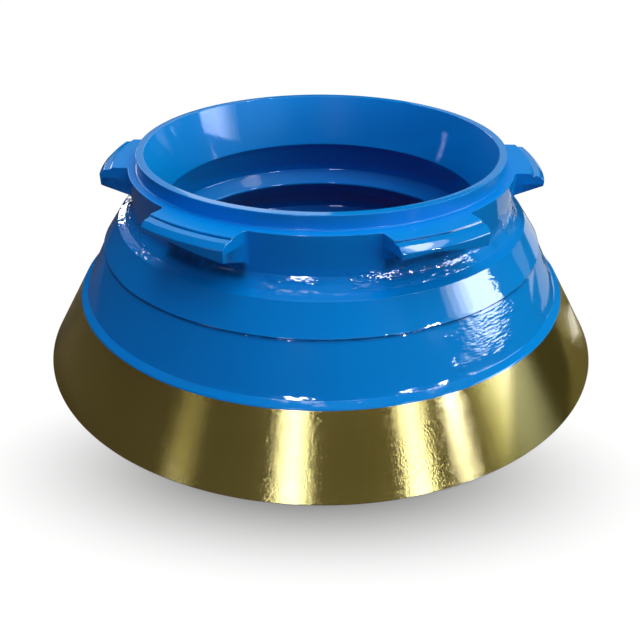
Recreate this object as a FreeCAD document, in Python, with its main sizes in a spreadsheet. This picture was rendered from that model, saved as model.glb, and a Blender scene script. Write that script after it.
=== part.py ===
import FreeCAD, Part
import math
import os
import Sketcher

# Cone crusher concave: the fixed liner that hangs in the crusher's bowl.
# One manganese steel casting, turned on its seats and on top of its hooks.
# Millimetres. The axis of the crusher is Z and the origin lies on it, in the
# plane of the bottom face. A hook points along +X.

# Driving sizes. Each row is a name, its value and what it sets.
# The outside is given from the bottom edge up, the chamber from the rim down.
SIZES = [
    ("base_radius", 600.0, "outer radius of the bottom edge"),
    ("base_land", 96.0, "width of the flat bottom face"),
    ("seat_height", 137.8, "height of the turned lower seat"),
    ("seat_angle", 30.9, "lower seat, degrees from the axis"),
    ("seat_ledge_width", 13.0, "small ledge above the lower seat, across"),
    ("seat_ledge_rise", 7.2, "the same ledge, up"),
    ("relief_height", 90.5, "height of the rough cone behind the backing"),
    ("relief_angle", 28.0, "rough cone, degrees from the axis"),
    ("undercut", 4.0, "step under the upper seat"),
    ("upper_seat_height", 53.0, "height of the turned upper seat"),
    ("upper_seat_angle", 34.8, "upper seat, degrees from the axis"),
    ("shoulder_ledge_width", 15.2, "turned ledge above the upper seat, across"),
    ("shoulder_ledge_rise", 7.2, "the same ledge, up"),
    ("shoulder_width", 17.4, "rough shoulder at the foot of the neck, across"),
    ("shoulder_rise", 16.5, "the same shoulder, up"),
    ("neck_height", 81.0, "height of the neck under its top ledge"),
    ("neck_ledge", 18.0, "width of the ledge round the spigot"),
    ("spigot_height", 27.8, "height of the spigot above the ledge"),
    ("rim_wall", 15.9, "width of the rim"),
    ("mouth_depth", 111.0, "depth of the mouth, which narrows downwards"),
    ("mouth_taper", 29.3, "how much the mouth narrows, on the radius"),
    ("lip_depth", 13.5, "depth of the lip under the mouth"),
    ("lip_step", 8.3, "how far the lip falls back, on the radius"),
    ("pocket_depth", 63.5, "depth of the first step of the chamber"),
    ("pocket_step", 26.7, "how far the first step falls back"),
    ("rib_depth", 30.5, "depth of the first rib's upper face"),
    ("rib_step", 25.6, "how far the first rib stands in"),
    ("lower_pocket_depth", 85.5, "depth of the second step of the chamber"),
    ("lower_pocket_step", 62.0, "how far the second step falls back"),
    ("lower_rib_depth", 19.0, "depth of the second rib's upper face"),
    ("lower_rib_step", 12.0, "how far the second rib stands in"),
    ("spigot_fillet", 3.5, "fillet at the foot of the spigot"),
    ("neck_fillet", 14.0, "fillet at the foot of the neck"),
    ("rib_round", 5.0, "rounding of the first rib's nose"),
    ("hook_count", 6, "hooks round the neck"),
    ("hook_width", 178.0, "width of a hook between its flat ends"),
    ("hook_peak_height", 20.4, "top of a hook down to its underside, at the peak"),
    ("hook_slope", 20.0, "underside, degrees below level towards the neck"),
    ("hook_fillet", 10.0, "fillet between a hook's underside and the neck"),
    ("hook_end_fillet", 6.0, "fillet between a hook's ends and the neck"),
    ("peak_angle", -3.6, "where the underside is highest, degrees from the hook's middle"),
    ("wedge_pitch", 405.0, "long ramp, how far it would fall in a whole turn"),
    ("lead_pitch", 241.0, "short ramp, how far it would fall in a whole turn"),
    ("turned_land", 32.0, "width of the hook's full height land"),
    ("turned_step_width", 2.4, "turned step behind the lip, across"),
    ("turned_step_drop", 4.2, "the same step, down"),
    ("hook_lip_width", 13.3, "width of the lip outside the step"),
    ("hook_lip_drop", 0.6, "fall of that lip"),
    ("hook_chamfer_width", 10.1, "width of the chamfer outside the lip"),
    ("hook_chamfer_drop", 9.0, "height of that chamfer"),
]

# Clearance for joining and cutting, not sizes of the part: how far a hook's
# root stands inside the neck, how far a cutter runs past what it cuts, and
# how many degrees a ramp's cutter runs past the hook's end
OVERLAP = 1.0
CUT_MARGIN = 20.0
SWEEP_MARGIN = 2.0

document = FreeCAD.newDocument("CrusherConcave")


def make_sheet():
    """Put the driving sizes in a sheet, one alias to a row."""
    sheet = document.addObject("Spreadsheet::Sheet", "Sizes")
    for row, (name, value, meaning) in enumerate(SIZES, start=1):
        sheet.set("A%d" % row, name)
        sheet.set("B%d" % row, str(value))
        sheet.set("C%d" % row, meaning)
        sheet.setAlias("B%d" % row, name)
    document.recompute()
    return sheet


sheet = make_sheet()


def value_of(expression):
    """The present value of an expression in the sheet's names."""
    return float(sheet.evalExpression(expression))


def origin_plane(body, role):
    """One of the body's own base planes."""
    for feature in body.Origin.OriginFeatures:
        if feature.Role == role:
            return feature
    raise RuntimeError("no plane " + role)


def new_sketch(body, name, role):
    """A sketch on one of the body's base planes."""
    sketch = body.newObject("Sketcher::SketchObject", name)
    sketch.AttachmentSupport = [(origin_plane(body, role), "")]
    sketch.MapMode = "FlatFace"
    return sketch


def bind(sketch, kind, places, expression):
    """Add one dimension to a sketch and tie it to the sheet."""
    index = sketch.addConstraint(Sketcher.Constraint(kind, *places, value_of(expression)))
    sketch.setExpression("Constraints[%d]" % index, expression)


def place_point(sketch, kind, first, second, expression):
    """Distance from one point to another, whichever way it runs."""
    if value_of(expression) < 0:
        bind(sketch, kind, second + first, "-(%s)" % expression)
    else:
        bind(sketch, kind, first + second, expression)


def corner_arc(before, corner, after, radius):
    """The arc that rounds a corner, as its two touch points and its circle."""
    back = (before - corner).normalize()
    ahead = (after - corner).normalize()
    half = back.getAngle(ahead) / 2
    leave = corner + back * (radius / math.tan(half))
    join = corner + ahead * (radius / math.tan(half))
    centre = corner + (back + ahead).normalize() * (radius / math.sin(half))
    return leave, join, Part.Circle(centre, FreeCAD.Vector(0, 0, 1), radius)


def angle_at(circle, point):
    """Direction of a point as seen from the centre of a circle."""
    arm = point - circle.Center
    return math.atan2(arm.y, arm.x)


def draw_outline(sketch, start, steps):
    """Draw a closed outline from a start point and steps (across, up, round).

    Every number is an expression in the sheet's names. A step of "0" makes
    the line level or upright. The third entry is the rounding of the corner
    that the step ends in, or None. The last line closes the outline.
    """
    corners = [FreeCAD.Vector(value_of(start[0]), value_of(start[1]), 0)]
    rounds = [None]
    for across, up, rounding in steps:
        corners.append(corners[-1] + FreeCAD.Vector(value_of(across), value_of(up), 0))
        rounds.append(rounding)
    count = len(corners)
    leaves = list(corners)
    joins = list(corners)
    circles = {}
    for index, rounding in enumerate(rounds):
        if rounding:
            before = corners[index - 1]
            after = corners[(index + 1) % count]
            arc = corner_arc(before, corners[index], after, value_of(rounding))
            leaves[index], joins[index], circles[index] = arc
    for index in range(count):
        sketch.addGeometry(Part.LineSegment(joins[index], leaves[(index + 1) % count]))
    marks = {}
    for index in range(count):
        line_in = (index - 1) % count
        if index not in circles:
            sketch.addConstraint(Sketcher.Constraint("Coincident", line_in, 2, index, 1))
            marks[index] = (index, 1)
            continue
        marks[index] = round_corner(sketch, line_in, index, corners[index], circles[index], rounds[index])
    place_point(sketch, "DistanceX", (-1, 1), marks[0], start[0])
    if start[1] == "0":
        sketch.addConstraint(Sketcher.Constraint("PointOnObject", *marks[0], -1))
    else:
        place_point(sketch, "DistanceY", (-1, 1), marks[0], start[1])
    for index, (across, up, rounding) in enumerate(steps):
        if across == "0":
            sketch.addConstraint(Sketcher.Constraint("Vertical", index))
        else:
            place_point(sketch, "DistanceX", marks[index], marks[index + 1], across)
        if up == "0":
            sketch.addConstraint(Sketcher.Constraint("Horizontal", index))
        else:
            place_point(sketch, "DistanceY", marks[index], marks[index + 1], up)


def round_corner(sketch, line_in, line_out, corner, circle, radius):
    """Join two lines by a tangent arc. A mark keeps the sharp corner's place."""
    leave = sketch.Geometry[line_in].EndPoint
    join = sketch.Geometry[line_out].StartPoint
    turn = (leave - circle.Center).cross(join - circle.Center).z
    first, last = (leave, join) if turn > 0 else (join, leave)
    start_angle = angle_at(circle, first)
    end_angle = angle_at(circle, last)
    arc = sketch.addGeometry(Part.ArcOfCircle(circle, start_angle, end_angle))
    leave_end, join_end = (1, 2) if turn > 0 else (2, 1)
    sketch.addConstraint(Sketcher.Constraint("Tangent", line_in, 2, arc, leave_end))
    sketch.addConstraint(Sketcher.Constraint("Tangent", line_out, 1, arc, join_end))
    bind(sketch, "Radius", (arc,), radius)
    mark = sketch.addGeometry(Part.Point(corner), True)
    sketch.addConstraint(Sketcher.Constraint("PointOnObject", mark, 1, line_in))
    sketch.addConstraint(Sketcher.Constraint("PointOnObject", mark, 1, line_out))
    return (mark, 1)


def cone_run(height, angle):
    """How far a cone runs across over its height, as an expression."""
    return "%s * tan(%s)" % (height, angle)


# Places that several features share, as expressions in the sheet's names
SEAT_RUN = cone_run("Sizes.seat_height", "Sizes.seat_angle")
RELIEF_RUN = cone_run("Sizes.relief_height", "Sizes.relief_angle")
UPPER_SEAT_RUN = cone_run("Sizes.upper_seat_height", "Sizes.upper_seat_angle")
SHOULDER_TOP = (
    "Sizes.seat_height + Sizes.seat_ledge_rise + Sizes.relief_height"
    " + Sizes.upper_seat_height + Sizes.shoulder_ledge_rise + Sizes.shoulder_rise"
)
LEDGE_HEIGHT = SHOULDER_TOP + " + Sizes.neck_height"
NECK_RADIUS = (
    "Sizes.base_radius - %s - Sizes.seat_ledge_width - %s + Sizes.undercut - %s"
    " - Sizes.shoulder_ledge_width - Sizes.shoulder_width"
) % (SEAT_RUN, RELIEF_RUN, UPPER_SEAT_RUN)
SPIGOT_RADIUS = NECK_RADIUS + " - Sizes.neck_ledge"
STEP_RADIUS = NECK_RADIUS + " + Sizes.turned_land"
PAST_LAND = "Sizes.turned_step_width + Sizes.hook_lip_width + Sizes.hook_chamfer_width"
HOOK_RADIUS = "%s + %s" % (STEP_RADIUS, PAST_LAND)
# The ramps run to where the end fillets leave the neck, and a little past it
HOOK_END_ANGLE = (
    "(asin((Sizes.hook_width / 2 + Sizes.hook_end_fillet) / (%s)) / 1 deg + %s)"
) % (NECK_RADIUS, SWEEP_MARGIN)
WEDGE_FALL = "Sizes.wedge_pitch * (%s - Sizes.peak_angle) / 360" % HOOK_END_ANGLE
LEAD_FALL = "Sizes.lead_pitch * (%s + Sizes.peak_angle) / 360" % HOOK_END_ANGLE
HOOK_DEPTH = (
    "Sizes.hook_peak_height + %s + (Sizes.turned_land + %s) * tan(Sizes.hook_slope)"
    " + Sizes.hook_fillet"
) % (WEDGE_FALL, PAST_LAND)


def make_hook_blank(body):
    """The plain block of one hook, from inside the neck wall outwards.

    Its plan has two flat ends, a round outer face and, on each side, a fillet
    that runs out on a circle just inside the neck.
    """
    sketch = new_sketch(body, "HookPlan", "XY_Plane")
    sketch.setExpression("AttachmentOffset.Base.z", LEDGE_HEIGHT)
    half = value_of("Sizes.hook_width") / 2
    fillet = value_of("Sizes.hook_end_fillet")
    inner = value_of(SPIGOT_RADIUS)
    outer = value_of(HOOK_RADIUS)
    root = value_of(NECK_RADIUS) - OVERLAP / 2
    end_angle = math.asin(half / outer)
    reach = outer * math.cos(end_angle)
    fillet_angle = math.asin((half + fillet) / (root + fillet))
    fillet_x = (root + fillet) * math.cos(fillet_angle)
    touch_x = root * math.cos(fillet_angle)
    touch_y = root * math.sin(fillet_angle)
    upwards = FreeCAD.Vector(0, 0, 1)
    outer_circle = Part.Circle(FreeCAD.Vector(0, 0, 0), upwards, outer)
    root_circle = Part.Circle(FreeCAD.Vector(0, 0, 0), upwards, root)
    lower_circle = Part.Circle(FreeCAD.Vector(fillet_x, -half - fillet, 0), upwards, fillet)
    upper_circle = Part.Circle(FreeCAD.Vector(fillet_x, half + fillet, 0), upwards, fillet)
    quarter = math.pi / 2
    outline = [
        Part.ArcOfCircle(outer_circle, -end_angle, end_angle),
        Part.LineSegment(FreeCAD.Vector(reach, half, 0), FreeCAD.Vector(fillet_x, half, 0)),
        Part.ArcOfCircle(upper_circle, math.pi + fillet_angle, 3 * quarter),
        Part.LineSegment(FreeCAD.Vector(touch_x, touch_y, 0), FreeCAD.Vector(inner, touch_y, 0)),
        Part.LineSegment(FreeCAD.Vector(inner, touch_y, 0), FreeCAD.Vector(inner, -touch_y, 0)),
        Part.LineSegment(FreeCAD.Vector(inner, -touch_y, 0), FreeCAD.Vector(touch_x, -touch_y, 0)),
        Part.ArcOfCircle(lower_circle, quarter, math.pi - fillet_angle),
        Part.LineSegment(FreeCAD.Vector(fillet_x, -half, 0), FreeCAD.Vector(reach, -half, 0)),
    ]
    for line in outline:
        sketch.addGeometry(line)
    sketch.addGeometry(root_circle, True)
    links = [
        ("Coincident", 0, 2, 1, 1),
        ("Tangent", 1, 2, 2, 2),
        ("Coincident", 2, 1, 3, 1),
        ("Coincident", 3, 2, 4, 1),
        ("Coincident", 4, 2, 5, 1),
        ("Coincident", 5, 2, 6, 2),
        ("Tangent", 6, 1, 7, 1),
        ("Coincident", 7, 2, 0, 1),
        ("Coincident", 0, 3, -1, 1),
        ("Coincident", 8, 3, -1, 1),
        ("Horizontal", 1),
        ("Horizontal", 3),
        ("Horizontal", 5),
        ("Horizontal", 7),
        ("Vertical", 4),
        ("Tangent", 2, 1, 8),
        ("Tangent", 6, 2, 8),
        ("Equal", 2, 6),
    ]
    for link in links:
        sketch.addConstraint(Sketcher.Constraint(*link))
    bind(sketch, "Radius", (0,), HOOK_RADIUS)
    bind(sketch, "Radius", (8,), "%s - %s / 2" % (NECK_RADIUS, OVERLAP))
    bind(sketch, "Radius", (2,), "Sizes.hook_end_fillet")
    bind(sketch, "DistanceY", (-1, 1, 1, 1), "Sizes.hook_width / 2")
    bind(sketch, "DistanceY", (0, 1, 0, 2), "Sizes.hook_width")
    bind(sketch, "DistanceX", (-1, 1, 4, 1), SPIGOT_RADIUS)
    document.recompute()
    blank = body.newObject("PartDesign::Pad", "HookBlank")
    blank.Profile = sketch
    blank.Reversed = True
    blank.setExpression("Length", HOOK_DEPTH)
    document.recompute()
    return blank


def draw_underside(sketch):
    """Section of the cutter under a hook.

    Its top line slopes down towards the neck and ends in the fillet. The
    fillet runs a little into the neck, so that nothing is left standing
    beside it.
    """
    slope = math.radians(value_of("Sizes.hook_slope"))
    radius = value_of("Sizes.hook_fillet")
    inner = value_of(NECK_RADIUS) - OVERLAP
    outer = value_of(HOOK_RADIUS)
    margin = CUT_MARGIN
    peak = value_of(LEDGE_HEIGHT) - value_of("Sizes.hook_peak_height")
    floor = peak - value_of(HOOK_DEPTH) - margin
    # the fillet touches the upright line x = inner and the sloping line
    centre_x = inner + radius
    fall = radius * math.cos(slope) + (outer - centre_x) * math.sin(slope)
    centre_y = peak - fall / math.cos(slope)
    touch_x = centre_x - radius * math.sin(slope)
    touch_y = centre_y + radius * math.cos(slope)
    end_y = peak + margin * math.tan(slope)
    corners = [
        FreeCAD.Vector(outer + margin, end_y, 0),
        FreeCAD.Vector(touch_x, touch_y, 0),
        FreeCAD.Vector(inner, centre_y, 0),
        FreeCAD.Vector(inner, floor, 0),
        FreeCAD.Vector(outer + margin, floor, 0),
    ]
    circle = Part.Circle(FreeCAD.Vector(centre_x, centre_y, 0), FreeCAD.Vector(0, 0, 1), radius)
    sketch.addGeometry(Part.LineSegment(corners[0], corners[1]))
    sketch.addGeometry(Part.ArcOfCircle(circle, math.pi / 2 + slope, math.pi))
    sketch.addGeometry(Part.LineSegment(corners[2], corners[3]))
    sketch.addGeometry(Part.LineSegment(corners[3], corners[4]))
    sketch.addGeometry(Part.LineSegment(corners[4], corners[0]))
    # a point that marks where the slope passes under the hook's outer face
    sketch.addGeometry(Part.Point(FreeCAD.Vector(outer, peak, 0)), True)
    sketch.addConstraint(Sketcher.Constraint("Tangent", 0, 2, 1, 1))
    sketch.addConstraint(Sketcher.Constraint("Tangent", 1, 2, 2, 1))
    sketch.addConstraint(Sketcher.Constraint("Coincident", 2, 2, 3, 1))
    sketch.addConstraint(Sketcher.Constraint("Coincident", 3, 2, 4, 1))
    sketch.addConstraint(Sketcher.Constraint("Coincident", 4, 2, 0, 1))
    sketch.addConstraint(Sketcher.Constraint("Vertical", 2))
    sketch.addConstraint(Sketcher.Constraint("Horizontal", 3))
    sketch.addConstraint(Sketcher.Constraint("Vertical", 4))
    sketch.addConstraint(Sketcher.Constraint("PointOnObject", 5, 1, 0))
    bind(sketch, "DistanceX", (-1, 1, 5, 1), HOOK_RADIUS)
    bind(sketch, "DistanceY", (-1, 1, 5, 1), LEDGE_HEIGHT + " - Sizes.hook_peak_height")
    bind(sketch, "Radius", (1,), "Sizes.hook_fillet")
    bind(sketch, "DistanceX", (-1, 1, 2, 2), "%s - %s" % (NECK_RADIUS, OVERLAP))
    bind(sketch, "DistanceX", (-1, 1, 3, 2), "%s + %s" % (HOOK_RADIUS, CUT_MARGIN))
    bind(sketch, "DistanceY", (2, 2, 5, 1), "%s + %s" % (HOOK_DEPTH, CUT_MARGIN))
    bind(sketch, "Angle", (0,), "180 + Sizes.hook_slope")


def make_ramp(body, name, fall, pitch, left_handed):
    """Cut one helical ramp under the hook, falling away from the peak."""
    sketch = new_sketch(body, name + "Section", "XZ_Plane")
    turn = FreeCAD.Rotation(FreeCAD.Vector(0, 1, 0), value_of("Sizes.peak_angle"))
    sketch.AttachmentOffset = FreeCAD.Placement(FreeCAD.Vector(0, 0, 0), turn)
    sketch.setExpression("AttachmentOffset.Rotation.Angle", "Sizes.peak_angle")
    draw_underside(sketch)
    document.recompute()
    ramp = body.newObject("PartDesign::SubtractiveHelix", name)
    ramp.Profile = sketch
    ramp.ReferenceAxis = (sketch, ["V_Axis"])
    ramp.Mode = "pitch-height-angle"
    ramp.LeftHanded = left_handed
    ramp.Reversed = True
    ramp.setExpression("Height", fall)
    ramp.setExpression("Pitch", pitch)
    document.recompute()
    return ramp


def make_hooks(body):
    """Wedge shaped hooks, alike and evenly spaced round the neck."""
    blank = make_hook_blank(body)
    wedge = make_ramp(body, "WedgeRamp", WEDGE_FALL, "Sizes.wedge_pitch", True)
    lead = make_ramp(body, "LeadRamp", LEAD_FALL, "Sizes.lead_pitch", False)
    pattern = body.newObject("PartDesign::PolarPattern", "Hooks")
    pattern.Originals = [blank, wedge, lead]
    pattern.Axis = (blank.Profile[0], ["N_Axis"])
    pattern.Angle = 360
    pattern.Occurrences = int(value_of("Sizes.hook_count"))
    pattern.setExpression("Occurrences", "Sizes.hook_count")
    body.Tip = pattern
    document.recompute()


def make_liner(body):
    """The body of the liner: seats and neck outside, stepped chamber inside."""
    sketch = new_sketch(body, "LinerSection", "XZ_Plane")
    start = ("Sizes.base_radius - Sizes.base_land", "0")
    steps = [
        ("Sizes.base_land", "0", None),
        ("-" + SEAT_RUN, "Sizes.seat_height", None),
        ("-Sizes.seat_ledge_width", "Sizes.seat_ledge_rise", None),
        ("-" + RELIEF_RUN, "Sizes.relief_height", None),
        ("Sizes.undercut", "0", None),
        ("-" + UPPER_SEAT_RUN, "Sizes.upper_seat_height", None),
        ("-Sizes.shoulder_ledge_width", "Sizes.shoulder_ledge_rise", None),
        ("-Sizes.shoulder_width", "Sizes.shoulder_rise", "Sizes.neck_fillet"),
        ("0", "Sizes.neck_height", None),
        ("-Sizes.neck_ledge", "0", "Sizes.spigot_fillet"),
        ("0", "Sizes.spigot_height", None),
        ("-Sizes.rim_wall", "0", None),
        ("-Sizes.mouth_taper", "-Sizes.mouth_depth", None),
        ("Sizes.lip_step", "-Sizes.lip_depth", None),
        ("Sizes.pocket_step", "-Sizes.pocket_depth", None),
        ("-Sizes.rib_step", "-Sizes.rib_depth", "Sizes.rib_round"),
        ("Sizes.lower_pocket_step", "-Sizes.lower_pocket_depth", None),
        ("-Sizes.lower_rib_step", "-Sizes.lower_rib_depth", None),
    ]
    draw_outline(sketch, start, steps)
    document.recompute()
    liner = body.newObject("PartDesign::Revolution", "Liner")
    liner.Profile = sketch
    liner.ReferenceAxis = (sketch, ["V_Axis"])
    liner.Angle = 360
    body.Tip = liner
    document.recompute()


def turn_hook_tops(body):
    """Turn the step, lip and chamfer on top of every hook in one pass."""
    sketch = new_sketch(body, "HookTurning", "XZ_Plane")
    start = (STEP_RADIUS, LEDGE_HEIGHT)
    total_drop = "Sizes.turned_step_drop + Sizes.hook_lip_drop + Sizes.hook_chamfer_drop"
    steps = [
        ("Sizes.turned_step_width", "-Sizes.turned_step_drop", None),
        ("Sizes.hook_lip_width", "-Sizes.hook_lip_drop", None),
        ("Sizes.hook_chamfer_width", "-Sizes.hook_chamfer_drop", None),
        (str(CUT_MARGIN), "0", None),
        ("0", "%s + %s" % (total_drop, CUT_MARGIN), None),
        ("-(%s + %s)" % (PAST_LAND, CUT_MARGIN), "0", None),
    ]
    draw_outline(sketch, start, steps)
    document.recompute()
    groove = body.newObject("PartDesign::Groove", "HookTops")
    groove.Profile = sketch
    groove.ReferenceAxis = (sketch, ["V_Axis"])
    groove.Angle = 360
    body.Tip = groove
    document.recompute()


def check(body):
    """Stop if anything failed or the casting isn't one sound solid."""
    for item in document.Objects:
        for word in ("Invalid", "Error"):
            if word in item.State:
                raise RuntimeError("%s: %s" % (item.Name, item.State))
        if hasattr(item, "Shape") and item.isDerivedFrom("PartDesign::Feature"):
            if item.Shape.isNull() or not item.Shape.isValid():
                raise RuntimeError(item.Name + " has no sound shape")
    shape = body.Shape
    if shape.isNull() or not shape.isValid() or len(shape.Solids) != 1:
        raise RuntimeError("the casting is not one sound solid")


body = document.addObject("PartDesign::Body", "Concave")
body.Label = "concave"
body.AllowCompound = True
make_hooks(body)
make_liner(body)
turn_hook_tops(body)
check(body)

os.makedirs("parts", exist_ok=True)
body.Shape.exportStep(os.path.join("parts", body.Label + ".step"))

box = body.Shape.optimalBoundingBox()
print("size %.1f x %.1f x %.1f mm" % (box.XLength, box.YLength, box.ZLength))
print("volume %.5f cubic metres" % (body.Shape.Volume / 1e9))
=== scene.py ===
# %% [markdown]
# # Cone crusher concave
# The part is the fixed liner of a cone crusher: one heavy ring of manganese steel,
# cast in sand, turned on its seats and on top of its six hooks, and painted blue
# apart from the lower seat, which is left bare and oiled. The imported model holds
# its true form with plain cones and sharp edges. This lesson gives it the skin of
# a real casting, its rounded edges and its two finishes.

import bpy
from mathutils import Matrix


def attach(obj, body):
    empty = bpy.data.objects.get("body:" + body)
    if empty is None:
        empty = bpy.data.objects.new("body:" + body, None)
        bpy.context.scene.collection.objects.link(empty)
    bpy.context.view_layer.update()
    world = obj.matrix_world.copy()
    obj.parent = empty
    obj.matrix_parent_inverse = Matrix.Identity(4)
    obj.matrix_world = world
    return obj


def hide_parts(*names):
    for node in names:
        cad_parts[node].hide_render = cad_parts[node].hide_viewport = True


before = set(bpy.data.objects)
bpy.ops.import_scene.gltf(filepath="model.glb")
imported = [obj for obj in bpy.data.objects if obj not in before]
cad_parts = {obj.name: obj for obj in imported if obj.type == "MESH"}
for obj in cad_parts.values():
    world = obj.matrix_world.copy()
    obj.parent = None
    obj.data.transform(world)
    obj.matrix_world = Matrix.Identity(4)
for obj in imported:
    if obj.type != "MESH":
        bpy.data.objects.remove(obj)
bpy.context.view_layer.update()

# %% Modules and units
import math

import bpy
import numpy as np
from mathutils import Matrix, Vector

MM = 0.001

# %% [markdown]
# ## Sizes of the casting
# The liner is a body of revolution with hooks, so two short lists describe it: the
# corners of its section, and the outline of one hook. They are the same sizes as
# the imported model's, in millimetres, and each height or radius that follows from
# others is worked out from them.

# %% Outside of the liner, from the bottom edge up
BASE_RADIUS = 600.0
BASE_LAND = 96.0
SEAT_HEIGHT, SEAT_ANGLE = 137.8, 30.9
SEAT_LEDGE_WIDTH, SEAT_LEDGE_RISE = 13.0, 7.2
RELIEF_HEIGHT, RELIEF_ANGLE = 90.5, 28.0
UNDERCUT = 4.0
UPPER_SEAT_HEIGHT, UPPER_SEAT_ANGLE = 53.0, 34.8
SHOULDER_LEDGE_WIDTH, SHOULDER_LEDGE_RISE = 15.2, 7.2
SHOULDER_WIDTH, SHOULDER_RISE = 17.4, 16.5
NECK_HEIGHT, NECK_LEDGE, NECK_FILLET = 81.0, 18.0, 14.0
SPIGOT_HEIGHT, SPIGOT_FILLET, RIM_WALL = 27.8, 3.5, 15.9


def lean(height, degrees_from_axis):
    """How far a cone runs across over its height: height times the tangent."""
    return height * math.tan(math.radians(degrees_from_axis))


relief_foot = SEAT_HEIGHT + SEAT_LEDGE_RISE
relief_top = relief_foot + RELIEF_HEIGHT
upper_seat_top = relief_top + UPPER_SEAT_HEIGHT
shoulder_foot = upper_seat_top + SHOULDER_LEDGE_RISE
shoulder_top = shoulder_foot + SHOULDER_RISE
ledge_height = shoulder_top + NECK_HEIGHT
rim_height = ledge_height + SPIGOT_HEIGHT

seat_top_radius = BASE_RADIUS - lean(SEAT_HEIGHT, SEAT_ANGLE)
relief_foot_radius = seat_top_radius - SEAT_LEDGE_WIDTH
relief_top_radius = relief_foot_radius - lean(RELIEF_HEIGHT, RELIEF_ANGLE)
upper_seat_radius = relief_top_radius + UNDERCUT
upper_seat_top_radius = upper_seat_radius - lean(UPPER_SEAT_HEIGHT, UPPER_SEAT_ANGLE)
shoulder_foot_radius = upper_seat_top_radius - SHOULDER_LEDGE_WIDTH
neck_radius = shoulder_foot_radius - SHOULDER_WIDTH
spigot_radius = neck_radius - NECK_LEDGE
mouth_radius = spigot_radius - RIM_WALL
print("neck radius %.1f, ledge height %.1f, rim height %.1f" % (neck_radius, ledge_height, rim_height))

# %% The chamber, from the rim down: how far each face runs inwards and how deep it is
CHAMBER_STEPS = {
    "mouth": (29.3, 111.0),
    "lip": (-8.3, 13.5),
    "pocket": (-26.7, 63.5),
    "rib": (25.6, 30.5),
    "lower pocket": (-62.0, 85.5),
    "lower rib": (12.0, 19.0),
}
chamber_corners = [(mouth_radius, rim_height)]
for inwards, drop in CHAMBER_STEPS.values():
    last_radius, last_height = chamber_corners[-1]
    chamber_corners.append((last_radius - inwards, last_height - drop))
print("chamber corners:", [(round(r), round(z)) for r, z in chamber_corners])

# %% One hook: its plan, its turned top and its two ramps underneath
HOOK_COUNT = 6
HOOK_WIDTH = 178.0
HOOK_END_FILLET, HOOK_END_ROUND = 6.0, 2.2
TURNED_LAND = 32.0
TURNED_STEP_WIDTH, TURNED_STEP_DROP = 2.4, 4.2
HOOK_LIP_WIDTH, HOOK_LIP_DROP = 13.3, 0.6
HOOK_CHAMFER_WIDTH, HOOK_CHAMFER_DROP = 10.1, 9.0
HOOK_PEAK_HEIGHT, HOOK_SLOPE, HOOK_FILLET = 20.4, 20.0, 10.0
PEAK_ANGLE, WEDGE_PITCH, LEAD_PITCH = -3.6, 405.0, 241.0
HOOK_TOP_ROUND, HOOK_FOOT_ROUND = 1.1, 2.6

land_radius = neck_radius + TURNED_LAND
lip_radius = land_radius + TURNED_STEP_WIDTH
chamfer_radius = lip_radius + HOOK_LIP_WIDTH
hook_radius = chamfer_radius + HOOK_CHAMFER_WIDTH
sector = 360.0 / HOOK_COUNT
print("hook radius %.1f" % hook_radius)

# %% [markdown]
# ## A section with rounded corners
# No edge of a casting is a sharp line: paint and sand leave a small round that
# catches the light, and that thin bright line tells the eye how big the thing is.
# Bevelling afterwards would lose the even grid, so the rounds are drawn into the
# section. A section is a list of corners, each with its rounding, and for the run
# after it the spacing of points and how rough the sand left the skin.


# %% Round one corner
def corner_arc(before, corner, after, rounding, turn_per_point=26.0):
    """Where the run to a corner stops, and the points of the arc that leads on.

    The arc starts at rounding times tan(half the turn) before the corner. Its
    points are its centre plus the spoke to its start, turned by equal steps.
    """
    ahead = corner - before
    ahead /= np.linalg.norm(ahead)
    onward = after - corner
    onward /= np.linalg.norm(onward)
    turn = math.atan2(ahead[0] * onward[1] - ahead[1] * onward[0], ahead @ onward)
    reach = rounding * math.tan(abs(turn) / 2)
    stop = corner - ahead * reach
    side = np.array([-ahead[1], ahead[0]]) * math.copysign(1, turn)
    centre = stop + side * rounding
    spoke = stop - centre
    count = max(2, math.ceil(math.degrees(abs(turn)) / turn_per_point))
    angles = np.arange(1, count + 1) / count * turn
    return stop, centre + np.stack([
        spoke[0] * np.cos(angles) - spoke[1] * np.sin(angles),
        spoke[0] * np.sin(angles) + spoke[1] * np.cos(angles),
    ], 1)


# %% Draw a rounded section
def rounded_section(corners):
    """Radii, heights and roughness of points along straight runs joined by arcs.

    A corner is (radius, height, rounding, spacing, roughness). A run's points
    stand at equal shares of the way from the last arc's end to the next one's start.
    """
    places = np.array([corner[:2] for corner in corners], float)
    points, rough = [places[0]], [corners[0][4]]
    for index in range(1, len(corners)):
        stop, arc = places[index], np.empty((0, 2))
        rounding = corners[index][2]
        if rounding and index < len(corners) - 1:
            stop, arc = corner_arc(*places[index - 1:index + 2], rounding)
        begin, spacing = points[-1], corners[index - 1][3]
        count = max(1, math.ceil(np.linalg.norm(stop - begin) / spacing))
        share = np.arange(1, count + 1)[:, None] / count
        points += [*(begin + (stop - begin) * share), *arc]
        rough += [corners[index - 1][4]] * count + [corners[index][4]] * len(arc)
    radii, heights = np.array(points).T
    return radii, heights, np.array(rough)


# %% [markdown]
# ## Grids sewn into one skin
# A casting is one piece, so its skin is one closed mesh. It is made of four bands
# that run right round: the chamber with the rim, the hooks with the neck, the
# outside, and the bare seat with the edge of the bottom land. Each band needs its
# own number of columns, many round the hooks and few in the chamber, so two bands
# meet in a row of triangles that steps from one ring's points to the other's in
# the order of their angles.


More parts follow.
